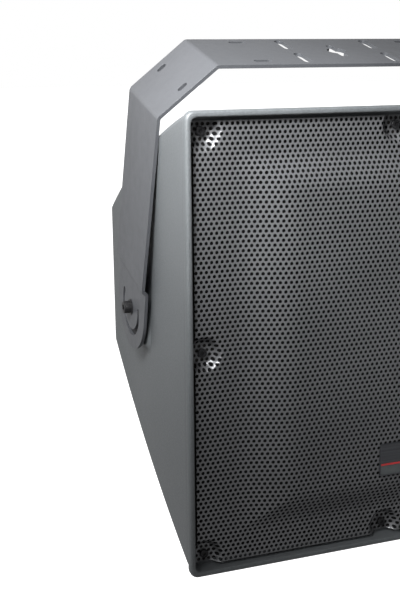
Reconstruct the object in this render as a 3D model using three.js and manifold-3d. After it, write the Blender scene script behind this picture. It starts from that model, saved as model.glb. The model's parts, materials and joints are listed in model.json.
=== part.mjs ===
// Weatherproof two-way installation loudspeaker in a tapering moulded cabinet, hung in a steel U-bracket.
// Millimetres. +Z is up, the grille faces -Y, and the origin is the middle of the bracket's mounting plate.
// Everything on the cabinet is drawn from the middle of the grille's flat margin, with y running back from it.
import * as THREE from "three";
import { mergeVertices } from "three/addons/utils/BufferGeometryUtils.js";
import Module from "manifold-3d";

const wasm = await Module();
wasm.setup();

// ---- driving dimensions ----
const GAP = 0.3; // kept between pieces that touch
const REACH = 12; // how far a cutter passes beyond what it cuts

const RIM = { halfWidth: 252, halfHeight: 261.5, front: -8, back: 7, corner: 12 };
const BODY = { front: 4, back: 452, halfWidth: 249.5, halfHeight: 260.5, corner: 9, bevel: 8 };
const TAPER = { draft: 0.08, slope: 0.197, curve: 0.00033 };
const WALL = 8;
const GRILLE_OPENING = { halfWidth: 244.7, halfHeight: 254, corner: 7 };
const BAFFLE = { front: 11, back: 29, halfWidth: 239.6, halfHeight: 248.6, hole: 179.5 };
const LEDGE = { halfWidth: 226, halfHeight: 234, back: 38 };

const GRILLE = { halfWidth: 240.5, halfHeight: 250, sheet: 1.5, raised: 15 };
const GRILLE_SLOPE = { outerX: 194, innerX: 123, outerZ: 218, innerZ: 172 };
const DIMPLE = { radius: 21, floorRadius: 12, depth: 9.2, hole: 3.4 };
const GRILLE_SCREW = { x: 230, z: 239.5 };
const BADGE = { width: 37, height: 40, thickness: 2, z: -148 };

const PIVOT_Y = 239.3;
const LEAN = THREE.MathUtils.degToRad(15.1);
const STRIP = { thickness: 4, halfWidth: 58.5, endRise: 4.5 };
const ARM = { paddleX: 245.3, jogglePoint: 45, outerX: 250.4, joggleEnd: 51, topX: 243.8, chamferStart: 272.5 };
const PLATE = { height: 331.5, chamferRun: 67 };
const ARC_SLOT = { radius: 33.5, width: 8, halfSpan: THREE.MathUtils.degToRad(105.5) };
const ACROSS_SLOT = { length: 22, width: 7.5, x: 115, y: 42 };
const LONG_SLOT = { length: 41, width: 11, x: 58.5, y: 30 };
const CENTRE_SLOT = { length: 52, width: 9, hole: 12 };
const CHAMFER_SLOT = { length: 13, width: 8.5, y: 40 };
const PIVOT_BOLT = { shank: 5, head: 8, headLength: 10, socket: 4 };
const STOP_PIN = { radius: 3.5, recess: 0.6 };
const PAD = { outerX: 237.4, halfLength: 53, halfHeight: 48, depth: 17, corner: 14, frictionRadius: 44 };
const THREAD_PLATE = { x: 226, thickness: 7, front: 180, back: 250, halfHeight: 12, pocket: 205 };

// The driver is drawn as if its frame lay on the baffle's face, and sits this much deeper, in a rebate.
const REBATE = 5;
const WOOFER = { frame: 194, frameFront: 3.7, frameThickness: 5, screwCircle: 185, screws: 8 };
const COIL = { inner: 50, outer: 51.5, front: 68, back: 119 };
const MAGNET = { radius: 110, inner: 62, front: 118.3, back: 140.3 };
const POLE = { radius: 48, bore: 20, front: 106, back: 151 };

const WELL = { halfWidth: 80, halfHeight: 58, inner: 404, floor: 412, outer: 447, wall: 7, corner: 10 };
const POST = { x: 70, z: 48, radius: 6, holeFront: 425 };
const COVER = { thickness: 4, front: 448, gasket: 1.2, gasketWidth: 17 };
const INPUT_PANEL = { halfWidth: 61, halfHeight: 53, thickness: 3, wireX: 30, wireZ: -18 };
const PANEL_BACK = WELL.floor + GAP + INPUT_PANEL.thickness;
const TERMINALS = { x: 18, z: 16, width: 58, depth: 14, height: 18, pitch: 14 };
const TAP = { x: -28, z: 12, shaft: 3, body: 14, knob: 15 };
const GLAND = { x: 0, z: -28, radius: 10, bore: 5 };

// Socket-head screws along y: radii of the head, shank and socket, and the head's length.
const GRILLE_BOLT = { head: 5.25, headLength: 3.2, shank: 3, socket: 2 };
const WOOFER_BOLT = { head: 4.5, headLength: 3, shank: 2.5, socket: 1.8 };
const COVER_BOLT = { head: 4.5, headLength: 3, shank: 2.2, socket: 1.8 };

// ---- finishes ----
const finish = (color, roughness, metalness) => new THREE.MeshStandardMaterial({ color, roughness, metalness });
const cabinetPlastic = finish(0x7d8486, 0.7, 0);
const bracketPaint = finish(0x74767a, 0.5, 0.3);
const grillePaint = finish(0x55585c, 0.45, 0.6);
const blackSteel = finish(0x151515, 0.35, 0.7);
const plainSteel = finish(0x9a9c9e, 0.35, 0.9);
const blackRubber = finish(0x141414, 0.9, 0);
const blackCloth = finish(0x0b0b0c, 0.95, 0);
const paper = finish(0x1c1c1e, 0.85, 0);
const plywood = finish(0x4a3b2c, 0.8, 0);
const ferrite = finish(0x2a2b2d, 0.6, 0.2);
const castAluminium = finish(0x3a3c3e, 0.5, 0.6);
const pewter = finish(0x83868a, 0.4, 0.7);
const greenBoard = finish(0x1f5a36, 0.5, 0);
const copper = finish(0xa8622f, 0.35, 0.9);
const film = finish(0x8a7a30, 0.5, 0);
const blackPlastic = finish(0x1b1c1d, 0.55, 0);

// ---- solids ----
// A geometry as a manifold-3d solid, turned the right way out if its profile ran the other way round.
function solid(geometry) {
  const bare = geometry.clone();
  for (const name of Object.keys(bare.attributes)) {
    if (name !== "position") bare.deleteAttribute(name);
  }
  const merged = mergeVertices(bare, 1e-3);
  const vertProperties = new Float32Array(merged.attributes.position.array);
  const triVerts = new Uint32Array(merged.index.array);
  const made = new wasm.Manifold(new wasm.Mesh({ numProp: 3, vertProperties, triVerts }));
  if (made.volume() > 0) return made;
  triVerts.reverse();
  return new wasm.Manifold(new wasm.Mesh({ numProp: 3, vertProperties, triVerts }));
}

function geometryOf(made) {
  const mesh = made.getMesh();
  const geometry = new THREE.BufferGeometry();
  geometry.setAttribute("position", new THREE.BufferAttribute(mesh.vertProperties, 3));
  geometry.setIndex(new THREE.BufferAttribute(mesh.triVerts, 1));
  const faceted = geometry.toNonIndexed();
  faceted.computeVertexNormals();
  return faceted;
}

function cut(from, ...cutters) {
  return cutters.reduce((made, cutter) => made.subtract(cutter), from);
}

function join(...pieces) {
  return pieces.reduce((made, piece) => made.add(piece));
}

function piece(name, made, material) {
  const mesh = new THREE.Mesh(geometryOf(made), material);
  mesh.name = name;
  return mesh;
}

function box(width, depth, height, x = 0, y = 0, z = 0) {
  return solid(new THREE.BoxGeometry(width, depth, height).translate(x, y, z));
}

// Round bar along "x", "y" or "z" between two stations, its centre at the other two coordinates.
function bar(axis, radius, from, to, centre = [0, 0], sides = 20) {
  const geometry = new THREE.CylinderGeometry(radius, radius, to - from, sides);
  geometry.translate(0, (from + to) / 2, 0);
  if (axis === "x") geometry.rotateZ(-Math.PI / 2).translate(0, centre[0], centre[1]);
  if (axis === "y") geometry.translate(centre[0], 0, centre[1]);
  if (axis === "z") geometry.rotateX(Math.PI / 2).translate(centre[0], centre[1], 0);
  return solid(geometry);
}

// A ring or cup turned round the y axis from a closed outline of [radius, y] points.
function turned(outline, sides = 24) {
  const points = outline.map(([r, y]) => new THREE.Vector2(r, y));
  points.push(points[0].clone());
  return solid(new THREE.LatheGeometry(points, sides));
}

function roundedRectangle(halfWidth, halfHeight, corner) {
  const shape = new THREE.Shape();
  shape.moveTo(halfWidth, 0);
  shape.lineTo(halfWidth, halfHeight - corner);
  shape.absarc(halfWidth - corner, halfHeight - corner, corner, 0, Math.PI / 2);
  shape.absarc(corner - halfWidth, halfHeight - corner, corner, Math.PI / 2, Math.PI);
  shape.absarc(corner - halfWidth, corner - halfHeight, corner, Math.PI, Math.PI * 1.5);
  shape.absarc(halfWidth - corner, corner - halfHeight, corner, Math.PI * 1.5, Math.PI * 2);
  shape.closePath();
  return shape;
}

// Extrudes an x-z outline from one y station back to another.
function slab(shape, front, back, options = {}) {
  const settings = { depth: back - front, bevelEnabled: false, curveSegments: 3, ...options };
  return new THREE.ExtrudeGeometry(shape, settings).rotateX(Math.PI / 2).translate(0, back, 0);
}

function roundedSlab(halfWidth, halfHeight, corner, front, back) {
  return solid(slab(roundedRectangle(halfWidth, halfHeight, corner), front, back));
}

// A slot outline with round ends, centred on the origin, its length along x.
function slotShape(length, width) {
  const shape = new THREE.Shape();
  const straight = length / 2 - width / 2;
  shape.absarc(straight, 0, width / 2, -Math.PI / 2, Math.PI / 2);
  shape.absarc(-straight, 0, width / 2, Math.PI / 2, Math.PI * 1.5);
  shape.closePath();
  return shape;
}

// ---- cabinet ----
function bodyHalfWidth(y) {
  return BODY.halfWidth - TAPER.draft * y;
}

function bodyHalfHeight(y) {
  return BODY.halfHeight - TAPER.slope * y - TAPER.curve * y * y;
}

// The cabinet's tapering body, or with an inset the space inside its walls.
function taperedBlock(front, back, inset, corner, bevel = 0) {
  const edge = { bevelEnabled: bevel > 0, bevelSize: bevel, bevelThickness: bevel, bevelOffset: -bevel };
  const rounding = { ...edge, bevelSegments: 2, steps: 4, curveSegments: 3 };
  const outline = roundedRectangle(BODY.halfWidth, BODY.halfHeight, corner);
  const flat = slab(outline, front + bevel, back - bevel, rounding);
  const at = flat.attributes.position;
  for (let i = 0; i < at.count; i += 1) {
    const y = at.getY(i);
    at.setX(i, (at.getX(i) * (bodyHalfWidth(y) - inset)) / BODY.halfWidth);
    at.setZ(i, (at.getZ(i) * (bodyHalfHeight(y) - inset)) / BODY.halfHeight);
  }
  return solid(flat);
}

function cabinetShell() {
  const rimShape = roundedRectangle(RIM.halfWidth, RIM.halfHeight, RIM.corner);
  const softEdge = { bevelEnabled: true, bevelSize: 3, bevelThickness: 3, bevelOffset: -3, bevelSegments: 2 };
  const rim = solid(slab(rimShape, RIM.front + 3, RIM.back - 3, softEdge));
  const wellWidth = WELL.halfWidth + WELL.wall;
  const well = roundedSlab(wellWidth, WELL.halfHeight + WELL.wall, WELL.corner, WELL.inner, WELL.outer);
  const body = taperedBlock(BODY.front, BODY.back, 0, BODY.corner, BODY.bevel);
  const outside = join(rim, body, pivotPad(-1), pivotPad(1));
  const inside = taperedBlock(LEDGE.back, BODY.back - WALL, WALL, 12);
  const hollowed = cut(outside, inside);
  const { halfWidth, halfHeight, corner } = GRILLE_OPENING;
  const recess = roundedSlab(halfWidth, halfHeight, corner, RIM.front - REACH, BAFFLE.front);
  const seat = roundedSlab(BAFFLE.halfWidth + GAP, BAFFLE.halfHeight + GAP, 5, 0, BAFFLE.back + GAP);
  const mouth = roundedSlab(LEDGE.halfWidth, LEDGE.halfHeight, 12, BAFFLE.front + 2, LEDGE.back + 2);
  const wellSpace = roundedSlab(WELL.halfWidth, WELL.halfHeight, WELL.corner, WELL.floor, BODY.back + REACH);
  const panelOpening = box(96, 30, 70, 0, WELL.floor - 4, 0);
  const postBack = COVER.front - COVER.gasket - 2 * GAP;
  const posts = fourCorners(POST.x, POST.z).map(([x, z]) => {
    return bar("y", POST.radius, WELL.floor - 2, postBack, [x, z], 10);
  });
  const postHoles = fourCorners(POST.x, POST.z).map(([x, z]) => {
    return bar("y", boltHole(COVER_BOLT), POST.holeFront, BODY.back + REACH, [x, z], 8);
  });
  const shell = join(cut(join(hollowed, well), wellSpace, panelOpening, recess, seat, mouth), ...posts);
  return cut(shell, ...postHoles, ...[-1, 1].flatMap(threadPlateSpace));
}

// The radius of the hole that a screw passes through.
function boltHole(bolt) {
  return bolt.shank + GAP;
}

function fourCorners(x, z) {
  return [
    [-x, -z],
    [x, -z],
    [x, z],
    [-x, z],
  ];
}

// The flat pad that stands out of the drafted side wall round the pivot.
function pivotPad(side) {
  const shape = roundedRectangle(PAD.halfLength, PAD.halfHeight, PAD.corner);
  const settings = { depth: PAD.depth, bevelEnabled: false, curveSegments: 3 };
  const geometry = new THREE.ExtrudeGeometry(shape, settings).rotateX(Math.PI / 2).rotateZ(Math.PI / 2);
  return solid(centreOn(geometry, side * (PAD.outerX - PAD.depth / 2), PIVOT_Y, 0));
}

// Moves a geometry so that the middle of its bounding box is at a point.
function centreOn(geometry, x, y, z) {
  geometry.center();
  return geometry.translate(x, y, z);
}

function threadPlateSpace(side) {
  const plate = THREAD_PLATE;
  const length = plate.back - plate.front + 2 * GAP;
  const middle = (plate.front + plate.back) / 2;
  const depth = plate.x + plate.thickness / 2 + GAP - plate.pocket;
  const pocket = box(depth, length, 2 * (plate.halfHeight + GAP), side * (plate.pocket + depth / 2), middle, 0);
  const holes = boltPlaces().map(([y, radius]) => {
    return bar("x", radius + 0.5, ...sorted(side * (plate.x - 6), side * (PAD.outerX + REACH)), [y, 0], 20);
  });
  return [pocket, ...holes];
}

function sorted(a, b) {
  return a < b ? [a, b] : [b, a];
}

// Where the pivot bolt and the stop pin cross the cabinet's side: [y, radius].
function boltPlaces() {
  return [
    [PIVOT_Y, PIVOT_BOLT.shank],
    [PIVOT_Y - ARC_SLOT.radius, STOP_PIN.radius],
  ];
}

function threadPlate(side) {
  const plate = THREAD_PLATE;
  const middle = (plate.front + plate.back) / 2;
  const length = plate.back - plate.front;
  const bores = boltPlaces().map(([y, radius]) => {
    return bar("x", radius + GAP, ...sorted(side * (plate.x - REACH), side * (plate.x + REACH)), [y, 0], 20);
  });
  return cut(box(plate.thickness, length, 2 * plate.halfHeight, side * plate.x, middle, 0), ...bores);
}

function frictionPad(side) {
  const inner = side * (PAD.outerX + GAP);
  const outer = side * (ARM.paddleX - STRIP.thickness - GAP);
  const disc = bar("x", PAD.frictionRadius, ...sorted(inner, outer), [PIVOT_Y, 0], 48);
  const holes = boltPlaces().map(([y, radius]) => {
    return bar("x", radius + GAP, ...sorted(side * ARM.paddleX, side * (PAD.outerX - REACH)), [y, 0], 20);
  });
  return cut(disc, ...holes);
}

// The socket-head bolt on which the cabinet turns.
function pivotBolt(side) {
  const bolt = PIVOT_BOLT;
  const seat = ARM.paddleX + GAP;
  const top = seat + bolt.headLength;
  const floor = top - bolt.headLength / 2;
  const head = bar("x", bolt.head, ...sorted(side * seat, side * top), [PIVOT_Y, 0], 20);
  const shank = bar("x", bolt.shank, ...sorted(side * (THREAD_PLATE.x - 11), side * (seat + 1)), [PIVOT_Y, 0]);
  const socket = bar("x", bolt.socket, ...sorted(side * floor, side * (top + REACH)), [PIVOT_Y, 0], 6);
  return cut(join(head, shank), socket);
}

// The pin that runs in the bracket's curved slot and ends the tilt at the slot's two ends.
function stopPin(side) {
  const inner = THREAD_PLATE.x - THREAD_PLATE.thickness / 2;
  const outer = ARM.paddleX - STOP_PIN.recess;
  const place = [PIVOT_Y - ARC_SLOT.radius, 0];
  return bar("x", STOP_PIN.radius, ...sorted(side * inner, side * outer), place);
}

// ---- grille ----
// How far the pressed sheet stands forward of its flat margin, as a smooth slope up to the flat middle.
function grilleRise(x, z) {
  const slope = GRILLE_SLOPE;
  const across = THREE.MathUtils.smoothstep(slope.outerX - Math.abs(x), 0, slope.outerX - slope.innerX);
  const along = THREE.MathUtils.smoothstep(slope.outerZ - Math.abs(z), 0, slope.outerZ - slope.innerZ);
  return GRILLE.raised * Math.min(across, along);
}

// Stations across half the sheet, from the edge to the flat middle.
function stations(half, outer, inner) {
  const slope = [0, 0.35, 0.65, 1].map((part) => outer + (inner - outer) * part);
  const positive = [half, ...slope];
  return [...positive.map((v) => -v), ...positive.reverse()];
}

// A sheet pressed to the grille's relief, its front face shifted back by an offset. The back face is the same
// grid as the front one, moved by the thickness, so the two never cross.
function pressedSheet(halfWidth, halfHeight, thickness, offset) {
  const xs = stations(halfWidth, GRILLE_SLOPE.outerX, GRILLE_SLOPE.innerX);
  const zs = stations(halfHeight, GRILLE_SLOPE.outerZ, GRILLE_SLOPE.innerZ);
  const positions = [0, thickness].flatMap((depth) => {
    return zs.flatMap((z) => xs.flatMap((x) => [x, offset + depth - grilleRise(x, z), z]));
  });
  const columns = xs.length;
  const layer = columns * zs.length;
  const faces = [];
  const quad = (a, b, c, d) => faces.push(a, b, c, a, c, d);
  for (let row = 0; row < zs.length - 1; row += 1) {
    for (let column = 0; column < columns - 1; column += 1) {
      const corner = row * columns + column;
      quad(corner, corner + 1, corner + columns + 1, corner + columns);
      const behind = corner + layer;
      faces.push(behind, behind + columns + 1, behind + 1, behind, behind + columns, behind + columns + 1);
    }
  }
  const rim = gridRim(columns, zs.length);
  rim.forEach((corner, i) => {
    const next = rim[(i + 1) % rim.length];
    quad(next, corner, corner + layer, next + layer);
  });
  const geometry = new THREE.BufferGeometry();
  geometry.setAttribute("position", new THREE.Float32BufferAttribute(positions, 3));
  geometry.setIndex(faces);
  return solid(geometry);
}

// The corners round the edge of a grid, in order.
function gridRim(columns, rows) {
  const bottom = Array.from({ length: columns }, (_, i) => i);
  const right = Array.from({ length: rows - 1 }, (_, i) => (i + 2) * columns - 1);
  const top = Array.from({ length: columns - 1 }, (_, i) => rows * columns - 2 - i);
  const left = Array.from({ length: rows - 2 }, (_, i) => (rows - 2 - i) * columns);
  return [...bottom, ...right, ...top, ...left];
}

function screwPlaces() {
  const { x, z } = GRILLE_SCREW;
  return [...fourCorners(x, z), [-x, 0], [x, 0], [0, -z], [0, z]];
}

function placed(made, x, y, z) {
  return made.translate([x, y, z]);
}

function grille() {
  const { radius, floorRadius, depth } = DIMPLE;
  const t = GRILLE.sheet;
  const cup = turned([
    [radius + 1, 0],
    [radius + 1, t],
    [radius - 1, t],
    [floorRadius, depth + t],
    [DIMPLE.hole, depth + t],
    [DIMPLE.hole, depth],
    [floorRadius + 1, depth],
    [radius, 0],
  ], 10);
  const sheet = pressedSheet(GRILLE.halfWidth, GRILLE.halfHeight, t, 0);
  const holes = screwPlaces().map(([x, z]) => bar("y", radius, -1, t + 1, [x, z], 10));
  const edge = roundedSlab(GRILLE.halfWidth, GRILLE.halfHeight, 5, -40, 40);
  const cups = screwPlaces().map(([x, z]) => placed(cup, x, 0, z));
  return join(cut(sheet, ...holes), ...cups).intersect(edge);
}

function grilleScreen() {
  const behind = GRILLE.sheet + 1;
  const sheet = pressedSheet(GRILLE.halfWidth - 8, GRILLE.halfHeight - 8, 1, behind);
  const holes = screwPlaces().map(([x, z]) => bar("y", DIMPLE.radius + 3, -1, 10, [x, z], 8));
  return cut(sheet, ...holes);
}

// A socket-head screw from its tip to the seat under its head, on either side of which the head may stand.
function screw(bolt, seat, tip) {
  const outward = Math.sign(seat - tip);
  const head = bar("y", bolt.head, ...sorted(seat, seat + outward * bolt.headLength), [0, 0], 10);
  const shank = bar("y", bolt.shank, ...sorted(tip, seat + outward), [0, 0], 6);
  const floor = seat + outward * bolt.headLength * 0.4;
  return cut(join(head, shank), bar("y", bolt.socket, ...sorted(floor, floor + outward * REACH), [0, 0], 6));
}

function grilleScrew() {
  return screw(GRILLE_BOLT, DIMPLE.depth - GAP, BAFFLE.front + 12);
}

function badgePlate() {
  const { width, height, thickness, z } = BADGE;
  const back = -GRILLE.raised - GAP;
  const plate = roundedSlab(width / 2, height / 2, 2.5, back - thickness, back);
  return placed(plate, 0, 0, z);
}

// ---- baffle and driver ----
function baffle() {
  const plate = roundedSlab(BAFFLE.halfWidth, BAFFLE.halfHeight, 5, BAFFLE.front, BAFFLE.back);
  const hole = bar("y", BAFFLE.hole, 0, BAFFLE.back + REACH, [0, 0], 32);
  const blindHole = (radius) => ([x, z]) => bar("y", radius, 0, BAFFLE.front + 14, [x, z], 6);
  const inserts = screwPlaces().map(blindHole(boltHole(GRILLE_BOLT)));
  const frameHoles = ringPlaces().map(blindHole(boltHole(WOOFER_BOLT)));
  const rebate = bar("y", WOOFER.frame + 2, 0, BAFFLE.front + REBATE, [0, 0], 32);
  return cut(plate, hole, rebate, ...inserts, ...frameHoles);
}

function ringPlaces() {
  return Array.from({ length: WOOFER.screws }, (_, i) => {
    const angle = ((i + 0.5) / WOOFER.screws) * Math.PI * 2;
    return [WOOFER.screwCircle * Math.cos(angle), WOOFER.screwCircle * Math.sin(angle)];
  });
}

// The screw holes through the frame's rim and its gasket.
function ringHoles() {
  return ringPlaces().map(([x, z]) => bar("y", boltHole(WOOFER_BOLT), 0, BAFFLE.back, [x, z], 6));
}

function frameBack() {
  return WOOFER.frameFront + WOOFER.frameThickness;
}

function wooferGasket() {
  const front = frameBack() + GAP;
  const back = BAFFLE.front - GAP;
  const ring = turned([
    [181, front],
    [WOOFER.frame, front],
    [WOOFER.frame, back],
    [181, back],
  ]);
  return cut(ring, ...ringHoles());
}

function wooferBasket() {
  const back = frameBack();
  const spider = 82;
  const seat = MAGNET.front - 10.6;
  const shell = turned([
    [163, WOOFER.frameFront + 2.5],
    [176, WOOFER.frameFront + 2.5],
    [176, WOOFER.frameFront],
    [WOOFER.frame, WOOFER.frameFront],
    [WOOFER.frame, back],
    [178, back],
    [172, 34],
    [102, spider + 3],
    [104, seat],
    [60, seat],
    [60, seat - 3.7],
    [98, seat - 3.7],
    [96, spider + 3],
    [84, spider + 3],
    [84, spider],
    [97, spider],
    [167, 33],
    [172, back],
    [163, back],
  ]);
  const windows = [0, 1, 2].map((turn) => {
    const slot = new THREE.BoxGeometry(420, 34, 62).translate(0, 56, 0).rotateY((turn * Math.PI) / 3);
    return solid(slot);
  });
  const middle = bar("y", 92, 0, 120, [0, 0]);
  return cut(shell, ...windows.map((window) => cut(window, middle)), ...ringHoles());
}

function wooferScrew() {
  return screw(WOOFER_BOLT, WOOFER.frameFront - GAP, BAFFLE.front + 12 - REBATE);
}

// The half roll between the cone's edge and the basket.
function surround() {
  const front = 4.7;
  const roll = Array.from({ length: 5 }, (_, i) => {
    const angle = Math.PI - (i / 4) * Math.PI;
    return [166.8 + 6.8 * Math.cos(angle), front - 0.9 - 6 * Math.sin(angle)];
  });
  const inside = [...roll].reverse().map(([r, y]) => [166.8 + (r - 166.8) * 0.86, y + 0.9]);
  return turned([[155, front - 0.9], ...roll, [175, front - 0.9], [175, front], ...inside, [155, front]]);
}

function cone() {
  return turned([
    [159.6, 5.2],
    [159.6, 6.7],
    [110, 33.5],
    [52.4, 73.6],
    [51.9, 73.6],
    [51.9, 71.6],
    [109, 31.5],
    [154, 5.2],
  ]);
}

function spider() {
  const ripples = Array.from({ length: 3 }, (_, i) => [58 + i * 12, 79.6 + (i % 2) * 2]);
  const back = ripples.map(([r, y]) => [r, y + 1]).reverse();
  return turned([[51.9, 79.6], ...ripples, [92, 80.6], [92, 81.6], ...back, [51.9, 80.6]]);
}

function voiceCoil() {
  const { inner, outer, front, back } = COIL;
  const wound = outer + 0.9;
  return turned([
    [inner, front],
    [outer, front],
    [outer, 106],
    [wound, 106],
    [wound, back],
    [inner, back],
  ]);
}

function frontPlate() {
  return turned([
    [53.4, MAGNET.front - 10.3],
    [104, MAGNET.front - 10.3],
    [104, MAGNET.front - GAP],
    [53.4, MAGNET.front - GAP],
  ]);
}

function magnet() {
  return turned([
    [MAGNET.inner, MAGNET.front],
    [MAGNET.radius, MAGNET.front],
    [MAGNET.radius, MAGNET.back],
    [MAGNET.inner, MAGNET.back],
  ]);
}

function polePlate() {
  return turned([
    [POLE.bore, POLE.front],
    [POLE.radius, POLE.front],
    [POLE.radius, MAGNET.back + GAP],
    [104, MAGNET.back + GAP],
    [104, POLE.back],
    [POLE.bore, POLE.back],
  ]);
}

// The horn in front of the pole, flaring inside the cone.
function hornMouth() {
  const length = 94;
  const throat = POLE.front - GAP;
  const flare = Array.from({ length: 4 }, (_, i) => {
    const part = i / 3;
    return [19 + 55 * Math.pow(part, 1.7), throat - length * part];
  });
  const outside = [...flare].reverse().map(([r, y]) => [r + 3, y]);
  const flange = [[24, throat - 8], [32, throat - 8], [32, throat]];
  return turned([[19, throat], ...flare.slice(1), ...outside.slice(0, -1), ...flange]);
}

function compressionDriver() {
  const front = POLE.back + GAP;
  return turned([
    [19, front],
    [46, front],
    [46, front + 6],
    [62, front + 10],
    [62, front + 44],
    [54, front + 52],
    [0, front + 52],
    [0, front + 16],
    [19, front + 12],
  ]);
}

// ---- electrical parts ----
const BOARD = { y: 340, x: -207, length: 104, height: 150, thickness: 1.6 };
const TRANSFORMER = { x: 176, y: 330, width: 46, length: 76, height: 62 };

function crossoverBoard() {
  return box(BOARD.thickness, BOARD.length, BOARD.height);
}

function inductor() {
  const ring = turned([
    [9, 0],
    [26, 0],
    [26, 1.6],
    [21, 1.6],
    [21, 18.4],
    [26, 18.4],
    [26, 20],
    [9, 20],
  ], 24);
  return ring.rotate([0, 0, -90]);
}

function filmCapacitor() {
  return bar("y", 10, -24, 24, [0, 0], 16);
}

function transformerCore() {
  const { width, length, height } = TRANSFORMER;
  const block = box(width, length, height);
  const window = [-1, 1].map((side) => box(width + 10, length / 6, height * 0.56, 0, side * length * 0.21, 0));
  return cut(block, ...window);
}

function transformerWinding() {
  const { width, length, height } = TRANSFORMER;
  const limb = length * 0.42 - length / 6;
  const outer = box(width + 24, limb + 2 * (length / 6) - 1, height * 0.56 - 1);
  const core = box(width + 2 * GAP, limb + 2 * GAP, height);
  return cut(outer, core);
}

function inputPanel() {
  const { halfWidth, halfHeight, thickness } = INPUT_PANEL;
  const front = WELL.floor + GAP;
  const plate = roundedSlab(halfWidth, halfHeight, 4, front, front + thickness);
  const through = [front - REACH, front + REACH];
  const shaftHole = bar("y", TAP.shaft + 0.6, ...through, [TAP.x, TAP.z], 16);
  return cut(plate, shaftHole, bar("y", 4, ...through, [INPUT_PANEL.wireX, INPUT_PANEL.wireZ], 16));
}

function terminalBlock() {
  const { x, z, width, depth, height, pitch } = TERMINALS;
  const back = PANEL_BACK + GAP;
  const block = box(width, depth, height, x, back + depth / 2, z);
  const screws = [-1.5, -0.5, 0.5, 1.5].map((step) => {
    return bar("y", 3, back + depth - 6, back + depth + REACH, [x + step * pitch, z], 10);
  });
  return cut(block, ...screws);
}

function tapSwitch() {
  const centre = [TAP.x, TAP.z];
  const body = bar("y", TAP.body, WELL.floor - 24, WELL.floor - 1, centre, 20);
  const shaft = bar("y", TAP.shaft, WELL.floor - 10, PANEL_BACK + 14, centre, 20);
  return join(body, shaft);
}

function tapKnob() {
  const front = PANEL_BACK + 1.5;
  const skirt = bar("y", TAP.knob, front, front + 5, [0, 0], 24);
  const grip = box(8, 15, 26, 0, front + 9, 0);
  return cut(join(skirt, grip), bar("y", TAP.shaft + 0.08, front - REACH, front + 14, [0, 0], 20));
}

function coverGasket() {
  const { halfWidth, halfHeight, corner } = WELL;
  const front = COVER.front - GAP - COVER.gasket;
  const inset = COVER.gasketWidth + 1;
  const ring = roundedSlab(halfWidth - 1, halfHeight - 1, corner - 1, front, COVER.front - GAP);
  const inner = roundedSlab(halfWidth - inset, halfHeight - inset, 4, front - REACH, COVER.front + REACH);
  return cut(ring, inner, ...coverHoles());
}

function coverHoles() {
  return fourCorners(POST.x, POST.z).map(([x, z]) => {
    return bar("y", boltHole(COVER_BOLT), COVER.front - REACH, COVER.front + REACH, [x, z], 8);
  });
}

function rearCover() {
  const { halfWidth, halfHeight, corner } = WELL;
  const back = COVER.front + COVER.thickness;
  const plate = roundedSlab(halfWidth - 1, halfHeight - 1, corner - 1, COVER.front, back);
  const glandRadius = GLAND.radius - 2 + GAP;
  const glandHole = bar("y", glandRadius, COVER.front - REACH, back + REACH, [GLAND.x, GLAND.z], 20);
  return cut(plate, ...coverHoles(), glandHole);
}

function coverScrew() {
  return screw(COVER_BOLT, COVER.front + COVER.thickness + GAP, POST.holeFront + 3);
}

function cableGland() {
  const back = COVER.front + COVER.thickness + GAP;
  const { radius, bore } = GLAND;
  return turned([
    [bore, COVER.front - REACH],
    [radius - 2, COVER.front - REACH],
    [radius - 2, back],
    [radius + 1, back],
    [radius + 1, back + 5],
    [radius - 2.5, back + 5],
    [radius - 2.5, back + 14],
    [bore, back + 14],
  ], 20);
}

function glandNut() {
  const front = COVER.front + COVER.thickness + GAP + 5 + GAP;
  const { radius, bore } = GLAND;
  return turned([
    [radius - 2.5 + GAP, front],
    [radius + 1, front],
    [radius + 1, front + 8],
    [bore + 3, front + 15],
    [bore, front + 15],
    [bore, front + 14 - 4],
    [radius - 2.5 + GAP, front + 14 - 4],
  ], 12);
}

// ---- bracket, drawn from the pivot axis with z up its arms ----
// The strip's outer line, up the left arm, across and down the right one.
function stripLine() {
  const left = [
    [-ARM.paddleX, STRIP.endRise - STRIP.halfWidth - 1],
    [-ARM.paddleX, ARM.jogglePoint],
    [-ARM.outerX, ARM.joggleEnd],
    [-ARM.topX, ARM.chamferStart],
    [PLATE.chamferRun - ARM.topX, PLATE.height],
  ];
  const right = left.map(([x, z]) => [-x, z]).reverse();
  return [...left, ...right].map(([x, z]) => new THREE.Vector2(x, z));
}

// Replaces each inner corner of a line by a short arc.
function softened(line, radius) {
  const points = [line[0]];
  for (let i = 1; i < line.length - 1; i += 1) {
    const before = line[i - 1].clone().sub(line[i]);
    const after = line[i + 1].clone().sub(line[i]);
    const reach = Math.min(radius, before.length() * 0.45, after.length() * 0.45);
    const start = line[i].clone().add(before.setLength(reach));
    const end = line[i].clone().add(after.setLength(reach));
    const curve = new THREE.QuadraticBezierCurve(start, line[i], end);
    points.push(...curve.getPoints(2));
  }
  return [...points, line[line.length - 1]];
}

// The same line moved sideways, to the right of its direction.
function offsetLine(line, distance) {
  return line.map((point, i) => {
    const before = line[Math.max(i - 1, 0)];
    const after = line[Math.min(i + 1, line.length - 1)];
    const along = [point.clone().sub(before), after.clone().sub(point)].filter((v) => v.length() > 0);
    const normals = along.map((v) => new THREE.Vector2(v.y, -v.x).normalize());
    const first = normals[0];
    const last = normals[normals.length - 1];
    const mitre = first.clone().add(last).normalize();
    return point.clone().addScaledVector(mitre, distance / mitre.dot(first));
  });
}

// A cutter through the bracket's top plate: an outline in x and depth, pushed through in z.
function plateSlot(slot, x, y, turn = 0) {
  const geometry = new THREE.ExtrudeGeometry(slotShape(slot.length, slot.width), {
    depth: 30,
    bevelEnabled: false,
    curveSegments: 3,
  });
  return solid(geometry.rotateZ(turn).translate(x, y, PLATE.height - 15));
}

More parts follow.
